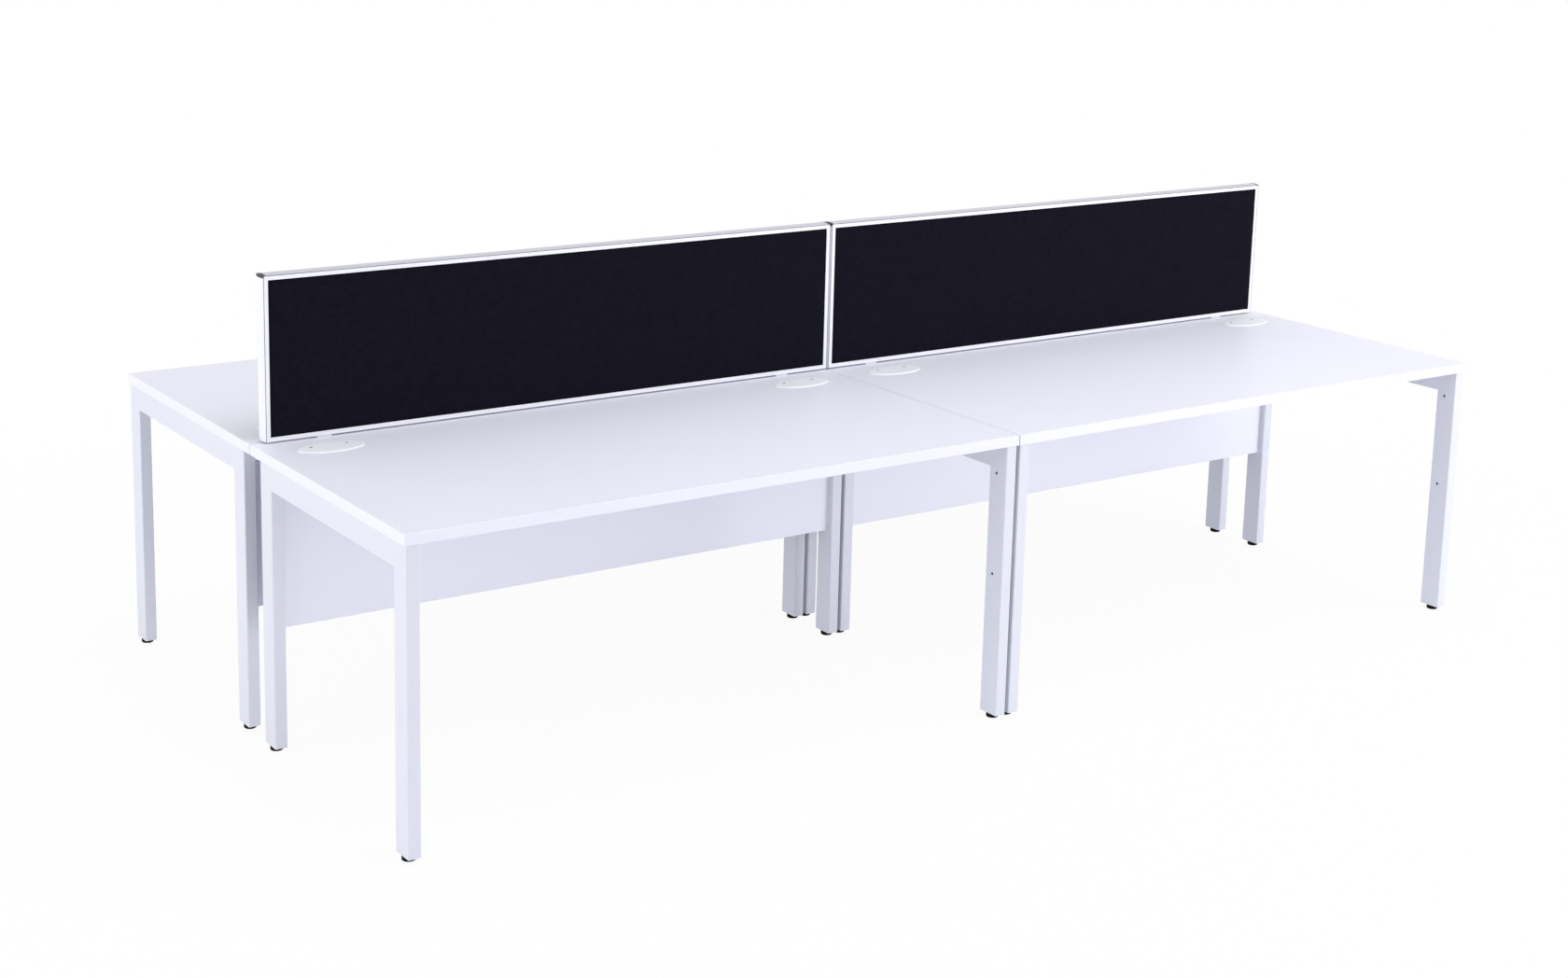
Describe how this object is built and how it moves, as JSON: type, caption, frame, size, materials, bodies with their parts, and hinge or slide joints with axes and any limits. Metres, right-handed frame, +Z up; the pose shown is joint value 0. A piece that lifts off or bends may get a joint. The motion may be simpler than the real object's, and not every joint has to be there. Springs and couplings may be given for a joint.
{
  "type": "bench desk",
  "caption": "Back-to-back office bench desk cluster: white boards on goal-post leg frames, oval cable ports, modesty panels and black fabric desk screens in white frames.",
  "frame": {"origin": "on the floor under the middle of the cluster, where the four desks meet", "axes": "+X along the cluster to the right seen from the front row's seats, +Y from the front row to the rear row, +Z up"},
  "size_m": [3.2006, 1.604, 1.1012],
  "materials": {
    "white_board": "white melamine-faced chipboard with matching edge band, satin",
    "white_steel": "white powder coat, satin",
    "white_aluminium": "white powder coat on aluminium extrusion, satin",
    "white_plastic": "white moulded plastic, satin",
    "black_plastic": "black moulded plastic, matt",
    "charcoal_plastic": "charcoal moulded plastic, matt",
    "black_fabric": "black woven upholstery cloth over a light board, matt",
    "zinc_steel": "zinc plated, bright"
  },
  "bodies": {
    "cluster": {"desktop_front_left": "white_board", "leg_frame_front_left_a": "white_steel", "leg_frame_front_left_b": "white_steel", "modesty_panel_front_left": "white_board", "port_liners_front_left": "white_plastic", "desktop_front_right": "white_board", "leg_frame_front_right_a": "white_steel", "leg_frame_front_right_b": "white_steel", "modesty_panel_front_right": "white_board", "port_liners_front_right": "white_plastic", "desktop_rear_left": "white_board", "leg_frame_rear_left_a": "white_steel", "leg_frame_rear_left_b": "white_steel", "modesty_panel_rear_left": "white_board", "port_liners_rear_left": "white_plastic", "desktop_rear_right": "white_board", "leg_frame_rear_right_a": "white_steel", "leg_frame_rear_right_b": "white_steel", "modesty_panel_rear_right": "white_board", "port_liners_rear_right": "white_plastic", "tube_plugs": "black_plastic", "cam_dowels": "zinc_steel", "cam_locks": "zinc_steel", "screws": "zinc_steel", "screen_top_rail_left": "white_aluminium", "screen_bottom_rail_left": "white_aluminium", "screen_end_rail_left_a": "white_aluminium", "screen_end_rail_left_b": "white_aluminium", "screen_board_left": "black_fabric", "screen_top_rail_right": "white_aluminium", "screen_bottom_rail_right": "white_aluminium", "screen_end_rail_right_a": "white_aluminium", "screen_end_rail_right_b": "white_aluminium", "screen_board_right": "black_fabric", "screen_corner_caps": "charcoal_plastic", "screen_brackets": "white_steel"},
    "foot_front_left_1": {"foot_front_left_1": "black_plastic"},
    "foot_front_left_2": {"foot_front_left_2": "black_plastic"},
    "foot_front_left_3": {"foot_front_left_3": "black_plastic"},
    "foot_front_left_4": {"foot_front_left_4": "black_plastic"},
    "foot_front_right_1": {"foot_front_right_1": "black_plastic"},
    "foot_front_right_2": {"foot_front_right_2": "black_plastic"},
    "foot_front_right_3": {"foot_front_right_3": "black_plastic"},
    "foot_front_right_4": {"foot_front_right_4": "black_plastic"},
    "foot_rear_left_1": {"foot_rear_left_1": "black_plastic"},
    "foot_rear_left_2": {"foot_rear_left_2": "black_plastic"},
    "foot_rear_left_3": {"foot_rear_left_3": "black_plastic"},
    "foot_rear_left_4": {"foot_rear_left_4": "black_plastic"},
    "foot_rear_right_1": {"foot_rear_right_1": "black_plastic"},
    "foot_rear_right_2": {"foot_rear_right_2": "black_plastic"},
    "foot_rear_right_3": {"foot_rear_right_3": "black_plastic"},
    "foot_rear_right_4": {"foot_rear_right_4": "black_plastic"},
    "port_cover_front_left_a": {"port_cover_front_left_a": "white_plastic"},
    "port_cover_front_left_b": {"port_cover_front_left_b": "white_plastic"},
    "port_cover_front_right_a": {"port_cover_front_right_a": "white_plastic"},
    "port_cover_front_right_b": {"port_cover_front_right_b": "white_plastic"},
    "port_cover_rear_left_a": {"port_cover_rear_left_a": "white_plastic"},
    "port_cover_rear_left_b": {"port_cover_rear_left_b": "white_plastic"},
    "port_cover_rear_right_a": {"port_cover_rear_right_a": "white_plastic"},
    "port_cover_rear_right_b": {"port_cover_rear_right_b": "white_plastic"}
  },
  "joints": [
    {"name": "foot_front_left_1_adjust", "type": "slide", "parent": "cluster", "child": "foot_front_left_1", "axis": [0, 0, -1], "range_m": [0, 0.02]},
    {"name": "foot_front_left_2_adjust", "type": "slide", "parent": "cluster", "child": "foot_front_left_2", "axis": [0, 0, -1], "range_m": [0, 0.02]},
    {"name": "foot_front_left_3_adjust", "type": "slide", "parent": "cluster", "child": "foot_front_left_3", "axis": [0, 0, -1], "range_m": [0, 0.02]},
    {"name": "foot_front_left_4_adjust", "type": "slide", "parent": "cluster", "child": "foot_front_left_4", "axis": [0, 0, -1], "range_m": [0, 0.02]},
    {"name": "foot_front_right_1_adjust", "type": "slide", "parent": "cluster", "child": "foot_front_right_1", "axis": [0, 0, -1], "range_m": [0, 0.02]},
    {"name": "foot_front_right_2_adjust", "type": "slide", "parent": "cluster", "child": "foot_front_right_2", "axis": [0, 0, -1], "range_m": [0, 0.02]},
    {"name": "foot_front_right_3_adjust", "type": "slide", "parent": "cluster", "child": "foot_front_right_3", "axis": [0, 0, -1], "range_m": [0, 0.02]},
    {"name": "foot_front_right_4_adjust", "type": "slide", "parent": "cluster", "child": "foot_front_right_4", "axis": [0, 0, -1], "range_m": [0, 0.02]},
    {"name": "foot_rear_left_1_adjust", "type": "slide", "parent": "cluster", "child": "foot_rear_left_1", "axis": [0, 0, -1], "range_m": [0, 0.02]},
    {"name": "foot_rear_left_2_adjust", "type": "slide", "parent": "cluster", "child": "foot_rear_left_2", "axis": [0, 0, -1], "range_m": [0, 0.02]},
    {"name": "foot_rear_left_3_adjust", "type": "slide", "parent": "cluster", "child": "foot_rear_left_3", "axis": [0, 0, -1], "range_m": [0, 0.02]},
    {"name": "foot_rear_left_4_adjust", "type": "slide", "parent": "cluster", "child": "foot_rear_left_4", "axis": [0, 0, -1], "range_m": [0, 0.02]},
    {"name": "foot_rear_right_1_adjust", "type": "slide", "parent": "cluster", "child": "foot_rear_right_1", "axis": [0, 0, -1], "range_m": [0, 0.02]},
    {"name": "foot_rear_right_2_adjust", "type": "slide", "parent": "cluster", "child": "foot_rear_right_2", "axis": [0, 0, -1], "range_m": [0, 0.02]},
    {"name": "foot_rear_right_3_adjust", "type": "slide", "parent": "cluster", "child": "foot_rear_right_3", "axis": [0, 0, -1], "range_m": [0, 0.02]},
    {"name": "foot_rear_right_4_adjust", "type": "slide", "parent": "cluster", "child": "foot_rear_right_4", "axis": [0, 0, -1], "range_m": [0, 0.02]},
    {"name": "port_cover_front_left_a_lift", "type": "slide", "parent": "cluster", "child": "port_cover_front_left_a", "axis": [0, 0, 1], "range_m": [0, 0.03]},
    {"name": "port_cover_front_left_b_lift", "type": "slide", "parent": "cluster", "child": "port_cover_front_left_b", "axis": [0, 0, 1], "range_m": [0, 0.03]},
    {"name": "port_cover_front_right_a_lift", "type": "slide", "parent": "cluster", "child": "port_cover_front_right_a", "axis": [0, 0, 1], "range_m": [0, 0.03]},
    {"name": "port_cover_front_right_b_lift", "type": "slide", "parent": "cluster", "child": "port_cover_front_right_b", "axis": [0, 0, 1], "range_m": [0, 0.03]},
    {"name": "port_cover_rear_left_a_lift", "type": "slide", "parent": "cluster", "child": "port_cover_rear_left_a", "axis": [0, 0, 1], "range_m": [0, 0.03]},
    {"name": "port_cover_rear_left_b_lift", "type": "slide", "parent": "cluster", "child": "port_cover_rear_left_b", "axis": [0, 0, 1], "range_m": [0, 0.03]},
    {"name": "port_cover_rear_right_a_lift", "type": "slide", "parent": "cluster", "child": "port_cover_rear_right_a", "axis": [0, 0, 1], "range_m": [0, 0.03]},
    {"name": "port_cover_rear_right_b_lift", "type": "slide", "parent": "cluster", "child": "port_cover_rear_right_b", "axis": [0, 0, 1], "range_m": [0, 0.03]}
  ]
}
